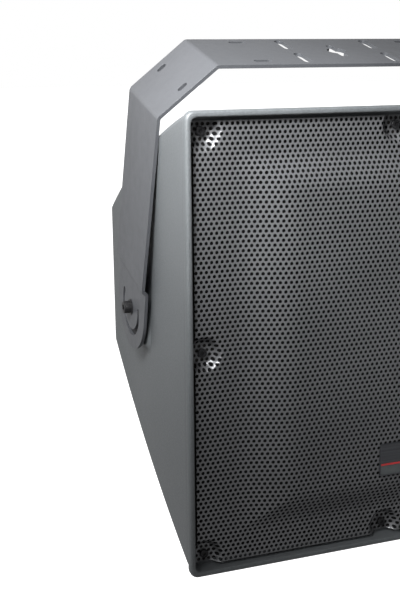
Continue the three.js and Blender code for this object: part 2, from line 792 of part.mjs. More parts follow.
// A cutter through a chamfer, at its middle, with the slot's length up the slope.
function chamferSlot(side, y) {
  const settings = { depth: 30, bevelEnabled: false, curveSegments: 3 };
  const geometry = new THREE.ExtrudeGeometry(slotShape(CHAMFER_SLOT.length, CHAMFER_SLOT.width), settings);
  const rise = PLATE.height - ARM.chamferStart;
  const slope = Math.atan2(rise, PLATE.chamferRun);
  geometry.translate(0, 0, -15).rotateY(side * slope);
  return solid(geometry.translate(side * (ARM.topX - PLATE.chamferRun / 2), y, PLATE.height - rise / 2));
}

// The curved slot round the pivot, through both arms.
function arcSlot() {
  const { radius, width, halfSpan } = ARC_SLOT;
  const from = -Math.PI / 2 - halfSpan;
  const to = -Math.PI / 2 + halfSpan;
  const end = (angle) => [radius * Math.cos(angle), radius * Math.sin(angle)];
  const shape = new THREE.Shape();
  shape.absarc(0, 0, radius + width / 2, from, to);
  shape.absarc(...end(to), width / 2, to, to + Math.PI);
  shape.absarc(0, 0, radius - width / 2, to, from, true);
  shape.absarc(...end(from), width / 2, from + Math.PI, from + Math.PI * 2);
  shape.closePath();
  const geometry = new THREE.ExtrudeGeometry(shape, { depth: 520, bevelEnabled: false, curveSegments: 12 });
  return solid(geometry.rotateX(Math.PI / 2).rotateZ(-Math.PI / 2).translate(260, 0, 0));
}

function bracket() {
  const line = softened(stripLine(), 9);
  const band = new THREE.Shape([...line, ...offsetLine(line, STRIP.thickness).reverse()]);
  const width = STRIP.halfWidth;
  const strip = solid(slab(band, -width, width));
  const ends = cut(
    box(540, width * 2 + 20, width + 10, 0, 0, STRIP.endRise - (width + 10) / 2),
    bar("x", width, -280, 280, [0, STRIP.endRise], 48),
  );
  const quarter = Math.PI / 2;
  const across = fourCorners(ACROSS_SLOT.x, ACROSS_SLOT.y).map(([x, y]) => plateSlot(ACROSS_SLOT, x, y));
  const inLine = fourCorners(LONG_SLOT.x, LONG_SLOT.y).map(([x, y]) => plateSlot(LONG_SLOT, x, y, quarter));
  const stud = bar("z", CENTRE_SLOT.hole, PLATE.height - 15, PLATE.height + 15, [0, 0], 24);
  const centre = join(plateSlot(CENTRE_SLOT, 0, 0, quarter), stud);
  const slopes = [-1, 1].flatMap((side) => [-1, 1].map((end) => chamferSlot(side, end * CHAMFER_SLOT.y)));
  const pivotHole = bar("x", PIVOT_BOLT.shank + 0.1, -280, 280, [0, 0]);
  return cut(strip, ends, ...across, ...inLine, centre, ...slopes, pivotHole, arcSlot());
}

// ---- assembly ----
const cabinet = new THREE.Group();
cabinet.add(
  piece("enclosure_shell", cabinetShell(), cabinetPlastic),
  piece("baffle", baffle(), plywood),
  piece("grille", grille(), grillePaint),
  piece("grille_screen", grilleScreen(), blackCloth),
  piece("badge_plate", badgePlate(), pewter),
);

screwPlaces().forEach(([x, z], i) => {
  const fastener = piece(`grille_screw_${i + 1}`, grilleScrew(), blackSteel);
  fastener.position.set(x, 0, z);
  cabinet.add(fastener);
});

for (const [name, side] of [["left", -1], ["right", 1]]) {
  cabinet.add(
    piece(`pivot_bolt_${name}`, pivotBolt(side), blackSteel),
    piece(`stop_pin_${name}`, stopPin(side), blackSteel),
    piece(`friction_pad_${name}`, frictionPad(side), blackRubber),
    piece(`thread_plate_${name}`, threadPlate(side), plainSteel),
  );
}

const driver = new THREE.Group();
driver.position.y = REBATE;
driver.add(
  piece("woofer_gasket", wooferGasket(), blackRubber),
  piece("woofer_basket", wooferBasket(), castAluminium),
  piece("surround", surround(), blackRubber),
  piece("cone", cone(), paper),
  piece("spider", spider(), film),
  piece("voice_coil", voiceCoil(), copper),
  piece("front_plate", frontPlate(), plainSteel),
  piece("magnet", magnet(), ferrite),
  piece("pole_plate", polePlate(), plainSteel),
  piece("hf_horn", hornMouth(), blackPlastic),
  piece("compression_driver", compressionDriver(), castAluminium),
);

ringPlaces().forEach(([x, z], i) => {
  const fastener = piece(`woofer_screw_${i + 1}`, wooferScrew(), blackSteel);
  fastener.position.set(x, 0, z);
  driver.add(fastener);
});
cabinet.add(driver);

const wallAngle = Math.atan(TAPER.draft);
const crossover = new THREE.Group();
crossover.position.set(BOARD.x, BOARD.y, 0);
crossover.rotation.z = -wallAngle;
const board = piece("crossover_board", crossoverBoard(), greenBoard);
const wooferInductor = piece("woofer_inductor", inductor(), copper);
wooferInductor.position.set(BOARD.thickness / 2 + GAP, 0, 40);
const capacitor = piece("film_capacitor", filmCapacitor(), film);
capacitor.position.set(BOARD.thickness / 2 + GAP + 10, 0, -30);
crossover.add(board, wooferInductor, capacitor);

const transformer = new THREE.Group();
transformer.position.set(TRANSFORMER.x, TRANSFORMER.y, 0);
transformer.rotation.z = wallAngle;
transformer.add(
  piece("transformer_core", transformerCore(), plainSteel),
  piece("transformer_winding", transformerWinding(), copper),
);
cabinet.add(crossover, transformer);

cabinet.add(
  piece("input_panel", inputPanel(), blackPlastic),
  piece("terminal_block", terminalBlock(), blackPlastic),
  piece("tap_switch", tapSwitch(), blackPlastic),
  piece("cover_gasket", coverGasket(), blackRubber),
  piece("rear_cover", rearCover(), cabinetPlastic),
);
const knob = piece("tap_knob", tapKnob(), blackPlastic);
knob.position.set(TAP.x, 0, TAP.z);
const gland = piece("cable_gland", cableGland(), blackPlastic);
gland.position.set(GLAND.x, 0, GLAND.z);
const nut = piece("gland_nut", glandNut(), blackPlastic);
nut.position.copy(gland.position);
cabinet.add(knob, gland, nut);

fourCorners(POST.x, POST.z).forEach(([x, z], i) => {
  const fastener = piece(`cover_screw_${i + 1}`, coverScrew(), blackSteel);
  fastener.position.set(x, 0, z);
  cabinet.add(fastener);
});

const hanger = new THREE.Group();
hanger.position.set(0, PIVOT_Y, 0);
hanger.rotation.x = LEAN;
hanger.add(piece("u_bracket", bracket(), bracketPaint));

// The whole object is moved so that the middle of the bracket's plate is the origin.
const group = new THREE.Group();
const plateMiddle = new THREE.Vector3(0, PIVOT_Y, 0);
plateMiddle.y -= PLATE.height * Math.sin(LEAN);
plateMiddle.z += PLATE.height * Math.cos(LEAN);
cabinet.position.sub(plateMiddle);
hanger.position.sub(plateMiddle);
group.add(cabinet, hanger);

export default group;
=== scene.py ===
"""Weatherproof installation loudspeaker in a U-bracket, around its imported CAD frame. Metres, +Z up."""
import json
import math

import bmesh
import bpy
import numpy as np
from mathutils import Matrix, Vector


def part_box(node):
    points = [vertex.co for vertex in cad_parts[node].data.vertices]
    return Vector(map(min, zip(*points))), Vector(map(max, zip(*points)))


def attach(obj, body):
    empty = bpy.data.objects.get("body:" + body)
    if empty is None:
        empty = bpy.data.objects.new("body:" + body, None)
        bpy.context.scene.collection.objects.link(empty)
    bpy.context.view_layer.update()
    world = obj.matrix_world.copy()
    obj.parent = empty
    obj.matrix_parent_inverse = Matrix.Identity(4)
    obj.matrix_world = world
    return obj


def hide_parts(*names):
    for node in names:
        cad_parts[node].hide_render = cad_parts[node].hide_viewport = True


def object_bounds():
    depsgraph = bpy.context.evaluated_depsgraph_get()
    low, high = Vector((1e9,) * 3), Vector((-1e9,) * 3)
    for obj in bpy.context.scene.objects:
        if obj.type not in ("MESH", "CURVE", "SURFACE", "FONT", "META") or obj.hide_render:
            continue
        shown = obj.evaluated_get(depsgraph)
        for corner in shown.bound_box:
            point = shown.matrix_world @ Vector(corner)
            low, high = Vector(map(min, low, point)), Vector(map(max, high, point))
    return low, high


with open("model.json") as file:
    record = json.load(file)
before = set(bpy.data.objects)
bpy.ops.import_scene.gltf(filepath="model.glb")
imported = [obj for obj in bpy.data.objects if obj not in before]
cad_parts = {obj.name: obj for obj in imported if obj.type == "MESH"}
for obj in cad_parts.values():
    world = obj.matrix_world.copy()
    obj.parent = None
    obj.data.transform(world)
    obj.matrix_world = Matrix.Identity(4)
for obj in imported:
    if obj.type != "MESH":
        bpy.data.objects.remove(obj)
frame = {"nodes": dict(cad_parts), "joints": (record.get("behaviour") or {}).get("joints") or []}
cad_low, cad_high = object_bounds()

MM = 0.001

# ---- places worked out from the frame ----
TILT = next(j for j in frame["joints"] if j["name"] == "cabinet_tilt")
PIVOT = Vector(TILT["pos_m"])
GRILLE_LOW, GRILLE_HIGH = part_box("grille")
SHEET = 1.5 * MM
SHOWN_SHEET = 0.8 * MM  # drawn thinner than the real sheet, so that the holes read as open at a slant
RAISED = 15 * MM
MARGIN_Y = GRILLE_LOW.y + RAISED  # front face of the grille's flat margin
CAB = Vector((0, MARGIN_Y, PIVOT.z))  # the cabinet's own origin: everything on it is drawn from here
PIVOT_BACK = PIVOT.y - MARGIN_Y
BODY_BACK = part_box("enclosure_shell")[1].y - MARGIN_Y
GRILLE_HALF_X = GRILLE_HIGH.x
GRILLE_HALF_Z = GRILLE_HIGH.z - CAB.z


# ---- meshes ----
def new_mesh(name, vertices, faces, smooth=35):
    """A mesh object from points in metres and polygons, smooth up to an edge angle in degrees."""
    mesh = bpy.data.meshes.new(name)
    mesh.from_pydata([tuple(v) for v in vertices], [], [tuple(f) for f in faces])
    mesh.validate()
    obj = bpy.data.objects.new(name, mesh)
    bpy.context.scene.collection.objects.link(obj)
    return shade(obj, smooth)


def shade(obj, smooth=35):
    obj.data.shade_smooth()
    obj.data.set_sharp_from_angle(angle=math.radians(smooth))
    return obj


def finished(obj, material, slot, body, *nodes):
    """Gives a piece its material and body, and hides the CAD nodes that it stands for; its slot argument is
    not used.
    """
    obj.data.materials.clear()
    obj.data.materials.append(material)
    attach(obj, body)
    if nodes:
        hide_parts(*nodes)
    return obj


def applied(obj, smooth=35):
    """The object with its modifiers made part of its mesh."""
    dg = bpy.context.evaluated_depsgraph_get()
    mesh = bpy.data.meshes.new_from_object(obj.evaluated_get(dg))
    obj.modifiers.clear()
    obj.data = mesh
    return shade(obj, smooth)


def with_normals(obj):
    """The object with its modifiers made part of its mesh, and the normals that they made kept."""
    dg = bpy.context.evaluated_depsgraph_get()
    mesh = bpy.data.meshes.new_from_object(obj.evaluated_get(dg))
    obj.modifiers.clear()
    obj.data = mesh
    return obj


def boolean(obj, cutters, operation="DIFFERENCE"):
    for cutter in cutters:
        change = obj.modifiers.new("cut", "BOOLEAN")
        change.object = cutter
        change.operation = operation
        change.solver = "EXACT"
    applied(obj)
    for cutter in cutters:
        bpy.data.objects.remove(cutter)
    return obj


def bevelled(obj, width, segments=2, angle=40):
    soft = obj.modifiers.new("bevel", "BEVEL")
    soft.width = width
    soft.segments = segments
    soft.limit_method = "ANGLE"
    soft.angle_limit = math.radians(angle)
    weighted = obj.modifiers.new("normals", "WEIGHTED_NORMAL")
    weighted.keep_sharp = True
    return with_normals(obj)


def ring_faces(rings, count, closed):
    """Quads between successive rings of count points; closed joins the last ring to the first."""
    faces = []
    for r in range(rings if closed else rings - 1):
        a, b = r * count, ((r + 1) % rings) * count
        for i in range(count):
            j = (i + 1) % count
            faces.append((a + i, a + j, b + j, b + i))
    return faces


AXES = {
    "x": Matrix(((0, 0, 1), (1, 0, 0), (0, 1, 0))),
    "y": Matrix(((0, -1, 0), (0, 0, 1), (-1, 0, 0))),
    "z": Matrix.Identity(3),
}


def lathe_points(outline, sides, place, axis, wave=None):
    """Points of an outline of (radius, station) turned round an axis; wave(angle, k) scales the radius."""
    turn = AXES[axis]
    points = []
    for k, (radius, station) in enumerate(outline):
        for i in range(sides):
            angle = math.tau * i / sides
            r = radius * (wave(angle, k) if wave else 1)
            points.append(place + turn @ Vector((r * math.cos(angle), r * math.sin(angle), station)))
    return points


def lathe(name, outline, place, axis="y", sides=48, smooth=35, wave=None):
    """A closed ring turned from a closed outline of (radius, station) in metres, that stays off the axis."""
    points = lathe_points(outline, sides, place, axis, wave)
    return outward(new_mesh(name, points, ring_faces(len(outline), sides, True), smooth))


def spun(name, outline, place, axis="y", sides=48, smooth=35, wave=None):
    """A solid turned from an open outline whose two ends are closed by flat discs."""
    points = lathe_points(outline, sides, place, axis, wave)
    faces = ring_faces(len(outline), sides, False)
    last = (len(outline) - 1) * sides
    faces.append(tuple(range(sides)))
    faces.append(tuple(last + i for i in reversed(range(sides))))
    return outward(new_mesh(name, points, faces, smooth))


def outward(obj):
    """Turns a closed mesh's faces outward."""
    shape = bmesh.new()
    shape.from_mesh(obj.data)
    bmesh.ops.recalc_face_normals(shape, faces=shape.faces)
    shape.to_mesh(obj.data)
    shape.free()
    return obj


def prism(name, outline, direction, near, far, smooth=35):
    """An outline of 3-D points pushed along a direction, from near to far."""
    count = len(outline)
    direction = Vector(direction)
    points = [Vector(p) + direction * near for p in outline] + [Vector(p) + direction * far for p in outline]
    faces = [(i, (i + 1) % count, count + (i + 1) % count, count + i) for i in range(count)]
    faces.append(tuple(reversed(range(count))))
    faces.append(tuple(count + i for i in range(count)))
    return outward(new_mesh(name, points, faces, smooth))


def joined(name, objects):
    """One object from several, as separate closed bodies."""
    with bpy.context.temp_override(
        active_object=objects[0],
        object=objects[0],
        selected_objects=objects,
        selected_editable_objects=objects,
    ):
        bpy.ops.object.join()
    objects[0].name = name
    objects[0].data.name = name
    return objects[0]


def smoothstep(t):
    t = np.clip(t, 0, 1)
    return t * t * (3 - 2 * t)


def arc(centre, radius, start, end, steps):
    """Points of a flat arc, its angles in radians."""
    for i in range(steps + 1):
        angle = start + (end - start) * i / steps
        yield centre[0] + radius * math.cos(angle), centre[1] + radius * math.sin(angle)


def slot_outline(length, width, steps=12):
    """A slot with round ends, its length along the first coordinate."""
    straight = (length - width) / 2
    right = list(arc((straight, 0), width / 2, -math.pi / 2, math.pi / 2, steps))
    left = list(arc((-straight, 0), width / 2, math.pi / 2, math.pi * 1.5, steps))
    return right + left


def rounded_outline(half_x, half_y, corner, steps=8):
    points = []
    for sx, sy, start in ((1, 1, 0), (-1, 1, 90), (-1, -1, 180), (1, -1, 270)):
        centre = (sx * (half_x - corner), sy * (half_y - corner))
        points += arc(centre, corner, math.radians(start), math.radians(start + 90), steps)
    return points


# ---- materials ----
def principled(name, **values):
    material = bpy.data.materials.new(name)
    material.use_nodes = True
    shader = material.node_tree.nodes["Principled BSDF"]
    for key, value in values.items():
        shader.inputs[key.replace("_", " ").title().replace("Ior", "IOR")].default_value = value
    return material, shader


def node(material, kind, **values):
    made = material.node_tree.nodes.new(kind)
    for key, value in values.items():
        if key in made.inputs:
            made.inputs[key].default_value = value
        else:
            setattr(made, key, value)
    return made


def noise(material, scale, detail=3.0, rough=0.55, stretch=(1, 1, 1)):
    """A noise value in the object's own coordinates; scale is features to the metre."""
    links = material.node_tree.links
    where = node(material, "ShaderNodeTexCoord")
    size = node(material, "ShaderNodeMapping")
    size.inputs["Scale"].default_value = stretch
    links.new(where.outputs["Object"], size.inputs["Vector"])
    made = node(material, "ShaderNodeTexNoise", Scale=scale, Detail=detail, Roughness=rough)
    links.new(size.outputs["Vector"], made.inputs["Vector"])
    return made.outputs["Fac"]


def ramp(material, value, *stops):
    """A colour ramp of (position, colour) stops."""
    made = node(material, "ShaderNodeValToRGB")
    points = made.color_ramp.elements
    while len(points) < len(stops):
        points.new(0.5)
    for point, (at, colour) in zip(points, stops):
        point.position = at
        point.color = (*colour, 1)
    material.node_tree.links.new(value, made.inputs["Fac"])
    return made.outputs["Color"]


def remap(material, value, low, high, start=0.3, end=0.7):
    made = node(material, "ShaderNodeMapRange")
    for key, number in (("From Min", start), ("From Max", end), ("To Min", low), ("To Max", high)):
        made.inputs[key].default_value = number
    material.node_tree.links.new(value, made.inputs["Value"])
    return made.outputs["Result"]


def bump(material, shader, height, distance, strength=1.0, under=None):
    made = node(material, "ShaderNodeBump", Strength=strength, Distance=distance)
    material.node_tree.links.new(height, made.inputs["Height"])
    if under is not None:
        material.node_tree.links.new(under, made.inputs["Normal"])
    material.node_tree.links.new(made.outputs["Normal"], shader.inputs["Normal"])
    return made.outputs["Normal"]


def mixed(material, factor, first, second, mode="MIX"):
    """Two colours (or links) mixed by a factor link."""
    made = node(material, "ShaderNodeMix", data_type="RGBA", blend_type=mode)
    links = material.node_tree.links
    for index, value in ((6, first), (7, second)):
        if isinstance(value, tuple):
            made.inputs[index].default_value = (*value, 1)
        else:
            links.new(value, made.inputs[index])
    if isinstance(factor, float):
        made.inputs[0].default_value = factor
    else:
        links.new(factor, made.inputs[0])
    return made.outputs[2]


def spotted(material, shader, dark, light, scale, roughness=(0.4, 0.6), detail=3.0):
    """Slow variation of colour and roughness over a surface."""
    value = noise(material, scale, detail)
    links = material.node_tree.links
    colour = ramp(material, value, (0.3, dark), (0.7, light))
    links.new(colour, shader.inputs["Base Color"])
    links.new(remap(material, value, *roughness), shader.inputs["Roughness"])
    return colour


def cabinet_plastic():
    """Moulded grey plastic with a fine pebbled grain."""
    material, shader = principled("cabinet_plastic", specular_ior_level=0.45)
    links = material.node_tree.links
    broad = noise(material, 5, 4)
    grain = noise(material, 520, 2, 0.6)
    base = ramp(material, broad, (0.3, (0.066, 0.072, 0.076)), (0.7, (0.078, 0.084, 0.088)))
    speckle = ramp(material, grain, (0.35, (0.86, 0.86, 0.86)), (0.65, (1.1, 1.1, 1.1)))
    links.new(mixed(material, 1.0, base, speckle, "MULTIPLY"), shader.inputs["Base Color"])
    links.new(remap(material, grain, 0.42, 0.60), shader.inputs["Roughness"])
    coarse = bump(material, shader, noise(material, 900, 2), 0.0002, 0.35)
    bump(material, shader, grain, 0.0004, 0.5, coarse)
    return material


def bracket_paint():
    """Grey powder coat on steel, with its orange-peel surface."""
    material, shader = principled("bracket_paint", metallic=0.25, specular_ior_level=0.5)
    links = material.node_tree.links
    broad = noise(material, 6, 4)
    grain = noise(material, 700, 2)
    base = ramp(material, broad, (0.3, (0.060, 0.063, 0.069)), (0.7, (0.071, 0.074, 0.081)))
    speckle = ramp(material, grain, (0.35, (0.93, 0.93, 0.93)), (0.65, (1.05, 1.05, 1.05)))
    links.new(mixed(material, 1.0, base, speckle, "MULTIPLY"), shader.inputs["Base Color"])
    links.new(remap(material, noise(material, 60, 3), 0.36, 0.46), shader.inputs["Roughness"])
    bump(material, shader, grain, 0.00025, 0.35)
    return material


def grille_paint():
    """Grey-lacquered steel, catching the light on its relief."""
    material, shader = principled("grille_paint", metallic=0.5, specular_ior_level=0.5)
    links = material.node_tree.links
    broad = noise(material, 9, 3)
    fine = noise(material, 400, 2)
    base = ramp(material, broad, (0.3, (0.108, 0.110, 0.115)), (0.7, (0.128, 0.130, 0.136)))
    links.new(base, shader.inputs["Base Color"])
    links.new(remap(material, fine, 0.30, 0.44), shader.inputs["Roughness"])
    bump(material, shader, fine, 0.0002, 0.25)
    return material


def black_steel():
    """Black-oxide steel with a thin film of oil."""
    material, shader = principled("black_steel", metallic=0.1, specular_ior_level=0.25)
    spotted(material, shader, (0.007, 0.007, 0.008), (0.014, 0.014, 0.015), 180, (0.26, 0.40))
    bump(material, shader, noise(material, 900, 2), 0.0001, 0.3)
    return material


def zinc_steel():
    """Zinc-plated steel with its faint bluish spangle."""
    material, shader = principled("zinc_steel", metallic=1.0)
    spotted(material, shader, (0.48, 0.50, 0.53), (0.62, 0.63, 0.65), 90, (0.22, 0.38), 4.0)
    bump(material, shader, noise(material, 500, 3), 0.0001, 0.3)
    return material


def badge_pewter():
    """Brushed pewter, the brushing running across."""
    material, shader = principled("badge_pewter", metallic=0.8)
    brushing = noise(material, 220, 3, 0.6, (0.05, 1, 6))
    links = material.node_tree.links
    links.new(ramp(material, brushing, (0.3, (0.050, 0.052, 0.058)), (0.7, (0.095, 0.098, 0.106))),
              shader.inputs["Base Color"])
    links.new(remap(material, brushing, 0.28, 0.42), shader.inputs["Roughness"])
    bump(material, shader, brushing, 0.0001, 0.4)
    return material


def enamel(name, dark, light):
    material, shader = principled(name, coat_weight=0.3, coat_roughness=0.15)
    spotted(material, shader, dark, light, 120, (0.25, 0.4))
    return material


def rubber():
    material, shader = principled("rubber", specular_ior_level=0.35)
    spotted(material, shader, (0.012, 0.012, 0.013), (0.024, 0.024, 0.026), 60, (0.6, 0.8))
    bump(material, shader, noise(material, 800, 3), 0.0002, 0.4)
    return material


def screen_cloth():
    """Black acoustic cloth with a plain weave."""
    material, shader = principled("screen_cloth", roughness=0.95, specular_ior_level=0.1)
    links = material.node_tree.links
    where = node(material, "ShaderNodeTexCoord")
    waves = []
    for direction in ("X", "Z"):
        thread = node(material, "ShaderNodeTexWave", bands_direction=direction, Scale=260.0, Distortion=0.6)
        links.new(where.outputs["Object"], thread.inputs["Vector"])
        waves.append(thread.outputs["Fac"])
    weave = node(material, "ShaderNodeMath", operation="MULTIPLY")
    links.new(waves[0], weave.inputs[0])
    links.new(waves[1], weave.inputs[1])
    gap_and_thread = (0.0, (0.002, 0.002, 0.002)), (1.0, (0.009, 0.009, 0.01))
    links.new(ramp(material, weave.outputs["Value"], *gap_and_thread), shader.inputs["Base Color"])
    bump(material, shader, weave.outputs["Value"], 0.0003, 0.6)
    return material


def baffle_wood():
    """Plywood stained black, its grain showing faintly."""
    material, shader = principled("baffle_wood", specular_ior_level=0.25)
    grain = noise(material, 30, 5, 0.6, (1, 1, 0.08))
    links = material.node_tree.links
    links.new(ramp(material, grain, (0.3, (0.006, 0.005, 0.005)), (0.7, (0.018, 0.015, 0.013))),
              shader.inputs["Base Color"])
    links.new(remap(material, grain, 0.6, 0.8), shader.inputs["Roughness"])
    bump(material, shader, grain, 0.0004, 0.4)
    return material


def basket_paint():
    material, shader = principled("basket_paint", metallic=0.5)
    spotted(material, shader, (0.035, 0.036, 0.038), (0.06, 0.061, 0.064), 70, (0.4, 0.6))
    bump(material, shader, noise(material, 420, 3), 0.0004, 0.5)
    return material


def cone_paper():
    """Pressed paper pulp with fibres."""
    material, shader = principled("cone_paper", specular_ior_level=0.2)
    fibres = noise(material, 150, 6, 0.7, (1, 1, 2.5))
    links = material.node_tree.links
    links.new(ramp(material, fibres, (0.3, (0.012, 0.012, 0.013)), (0.7, (0.035, 0.034, 0.036))),
              shader.inputs["Base Color"])
    links.new(remap(material, fibres, 0.75, 0.95), shader.inputs["Roughness"])
    bump(material, shader, fibres, 0.0005, 0.6)
    return material


def spider_cloth():
    material, shader = principled("spider_cloth", specular_ior_level=0.2)
    spotted(material, shader, (0.42, 0.29, 0.11), (0.55, 0.40, 0.18), 240, (0.75, 0.9))
    bump(material, shader, noise(material, 700, 3), 0.0004, 0.6)
    return material


def copper():
    """Enamelled copper wire, the turns showing as fine lines."""
    material, shader = principled("copper", metallic=0.9, coat_weight=0.4, coat_roughness=0.2)
    spotted(material, shader, (0.50, 0.20, 0.08), (0.66, 0.30, 0.14), 140, (0.28, 0.42))
    bump(material, shader, noise(material, 500, 2, 0.5, (0.1, 3, 0.1)), 0.0003, 0.5)
    return material


def ferrite():
    material, shader = principled("ferrite", specular_ior_level=0.4)
    spotted(material, shader, (0.025, 0.025, 0.027), (0.05, 0.05, 0.053), 100, (0.5, 0.7))
    bump(material, shader, noise(material, 350, 4), 0.0004, 0.5)
    return material


def black_plastic():
    material, shader = principled("black_plastic", specular_ior_level=0.45)
    spotted(material, shader, (0.013, 0.013, 0.014), (0.024, 0.024, 0.026), 80, (0.4, 0.55))
    bump(material, shader, noise(material, 650, 2), 0.0002, 0.4)
    return material


def circuit_board():
    material, shader = principled("circuit_board", coat_weight=0.5, coat_roughness=0.2)
    spotted(material, shader, (0.010, 0.085, 0.035), (0.02, 0.12, 0.05), 90, (0.3, 0.45))
    bump(material, shader, noise(material, 260, 2), 0.0001, 0.3)
    return material


def capacitor_film():
    material, shader = principled("capacitor_film", coat_weight=0.5, coat_roughness=0.15)
    spotted(material, shader, (0.42, 0.30, 0.03), (0.52, 0.38, 0.06), 40, (0.3, 0.45))
    bump(material, shader, noise(material, 120, 3), 0.0002, 0.3)
    return material


MATERIALS = {
    "cabinet_plastic": cabinet_plastic(),
    "bracket_paint": bracket_paint(),
    "grille_paint": grille_paint(),
    "screen_cloth": screen_cloth(),
    "badge_pewter": badge_pewter(),
    "baffle_wood": baffle_wood(),
    "black_steel": black_steel(),
    "rubber": rubber(),
    "zinc_steel": zinc_steel(),
    "basket_paint": basket_paint(),
    "cone_paper": cone_paper(),
    "spider_cloth": spider_cloth(),
    "copper": copper(),
    "ferrite": ferrite(),
    "black_plastic": black_plastic(),
    "circuit_board": circuit_board(),
    "capacitor_film": capacitor_film(),
}


def dressed(obj, slot, body, *nodes):
    return finished(obj, MATERIALS[slot], slot, body, *nodes)


# ---- cabinet ----
def body_half_width(y):
    return 0.2495 - 0.08 * y


def body_half_height(y):
    return 0.2605 - 0.197 * y - 0.33 * y * y


PAD = {"x": 0.2374, "half_y": 0.053, "half_z": 0.048, "corner": 0.014, "edge": 0.004}
SIDE_POINTS, ACROSS_POINTS, CORNER_STEPS = 62, 12, 7


def side_fractions():
    """Fractions along the straight part of a side, closer together beside the pad."""
    t = np.linspace(-1, 1, SIDE_POINTS)
    return 0.45 * t + 0.55 * t**3


def rounded_ring(half_x, half_z, corner, y):
    """One section of the cabinet: a rounded rectangle, its points always in the same order."""
    straight_x, straight_z = half_x - corner, half_z - corner
    points = []
    along, across = side_fractions(), np.linspace(-1, 1, ACROSS_POINTS)
    points += [(half_x, z * straight_z) for z in along]
    points += list(arc((straight_x, straight_z), corner, 0, math.pi / 2, CORNER_STEPS))[1:-1]
    points += [(-x * straight_x, half_z) for x in across]
    points += list(arc((-straight_x, straight_z), corner, math.pi / 2, math.pi, CORNER_STEPS))[1:-1]
    points += [(-half_x, -z * straight_z) for z in along]
    points += list(arc((-straight_x, -straight_z), corner, math.pi, math.pi * 1.5, CORNER_STEPS))[1:-1]
    points += [(x * straight_x, -half_z) for x in across]
    points += list(arc((straight_x, -straight_z), corner, -math.pi / 2, 0, CORNER_STEPS))[1:-1]
    return [(x, y, z) for x, z in points]


def body_ring(y, inset=0.0, corner=0.009):
    return rounded_ring(body_half_width(y) - inset, body_half_height(y) - inset, corner, y)


def front_rings():
    """From the ledge behind the baffle, out round the raised rim and into the groove behind it."""
    mm = [
        (226, 234, 12, 38),
        (226, 234, 12, 29.3),
        (239.9, 248.9, 5, 29.3),
        (239.9, 248.9, 5, 11),
        (244.7, 254, 7, 11),
        (244.7, 254, 7, -5.2),
        (244.9, 254.2, 7.2, -6.6),
        (245.5, 254.8, 7.6, -7.6),
        (246.4, 255.7, 8.2, -8),
        (248.6, 258.2, 8.8, -8),
        (249.9, 259.5, 9.2, -7.6),
        (250.8, 260.4, 9.4, -6.4),
        (251.2, 260.9, 9.5, -4.6),
        (251.2, 260.9, 9.5, 0.5),
        (251, 260.7, 9.5, 1.8),
        (250.5, 260.2, 9.4, 2.5),
        (249, 259.2, 9, 3.1),
        (248.3, 258.8, 9, 4.4),
    ]
    return [rounded_ring(x * MM, z * MM, c * MM, y * MM) for x, z, c, y in mm]


def soft_shoulder():
    """The wide round-over by which the side walls start behind the groove."""
    rings = []
    for part in np.linspace(0, 1, 9):
        y = 0.0056 + 0.0134 * part
        inset = 0.0010 * (1 - math.sin(part * math.pi / 2)) ** 1.3
        rings.append(body_ring(y, inset))
    return rings


def side_stations():
    """Stations along the walls, 3 mm apart beside the pads."""
    near = PIVOT_BACK - PAD["half_y"] - 0.008
    far = PIVOT_BACK + PAD["half_y"] + 0.008
    before = np.linspace(0.03, near, 9)[:-1]
    beside = np.linspace(near, far, 42)
    after = np.linspace(far, BODY_BACK - 0.008, 9)[1:]
    return [body_ring(y) for y in (*before, *beside, *after)]


def rear_rings():
    """The rounded rear edge, the rear face and the well for the connections."""
    rings = []
    radius = 0.008
    for part in np.linspace(0.12, 1, 8):
        angle = part * math.pi / 2
        y = BODY_BACK - radius + radius * math.sin(angle)
        rings.append(body_ring(y, radius * (1 - math.cos(angle)), 0.009))
    well = [
        (83, 61, 12.5, 452),
        (81, 59, 10.8, 451.4),
        (80, 58, 10, 450),
        (80, 58, 10, 413.5),
        (79, 57, 9, 412.2),
        (77.5, 55.5, 8, 412),
        (48, 35, 2, 412),
        (48, 35, 2, 404),
        (86, 64, 10, 404),
        (87, 65, 10, 405),
        (87, 65, 10, 444),
    ]
    return rings + [rounded_ring(x * MM, z * MM, c * MM, y * MM) for x, z, c, y in well]


def inner_rings():
    return [body_ring(y, 0.008, 0.006) for y in np.linspace(0.444, 0.038, 8)]


def raise_pads(points):
    """Lifts the side walls to the flat pads round the pivots."""
    x, y, z = points.T
    outside = np.abs(x) > body_half_width(y) - 0.0005
    across = np.abs(y - PIVOT_BACK) - (PAD["half_y"] - PAD["corner"])
    along = np.abs(z) - (PAD["half_z"] - PAD["corner"])
    reach = np.hypot(np.maximum(across, 0), np.maximum(along, 0)) - PAD["corner"]
    lift = smoothstep(-reach / PAD["edge"]) * outside * (y > 0.1) * (y < 0.4)
    wanted = np.sign(x) * PAD["x"]
    return np.stack([x + (wanted - x) * lift, y, z], axis=1)


def enclosure_shell():
    rings = front_rings() + soft_shoulder() + side_stations() + rear_rings() + inner_rings()
    points = raise_pads(np.array([p for ring in rings for p in ring]))
    points = points + np.array(CAB)
    shell = new_mesh("cabinet_shell", points, ring_faces(len(rings), len(rings[0]), True), 40)
    outward(shell)
    posts = []
    for x in (-0.07, 0.07):
        for z in (-0.048, 0.048):
            outline = [(0.0026, 0.4115), (0.0066, 0.4115), (0.006, 0.4455), (0.0055, 0.446), (0.0026, 0.446)]
            posts.append(lathe("post", outline, CAB + Vector((x, 0, z)), sides=24))
    return dressed(joined("cabinet_shell", [shell, *posts]), "cabinet_plastic", "cabinet", "enclosure_shell")


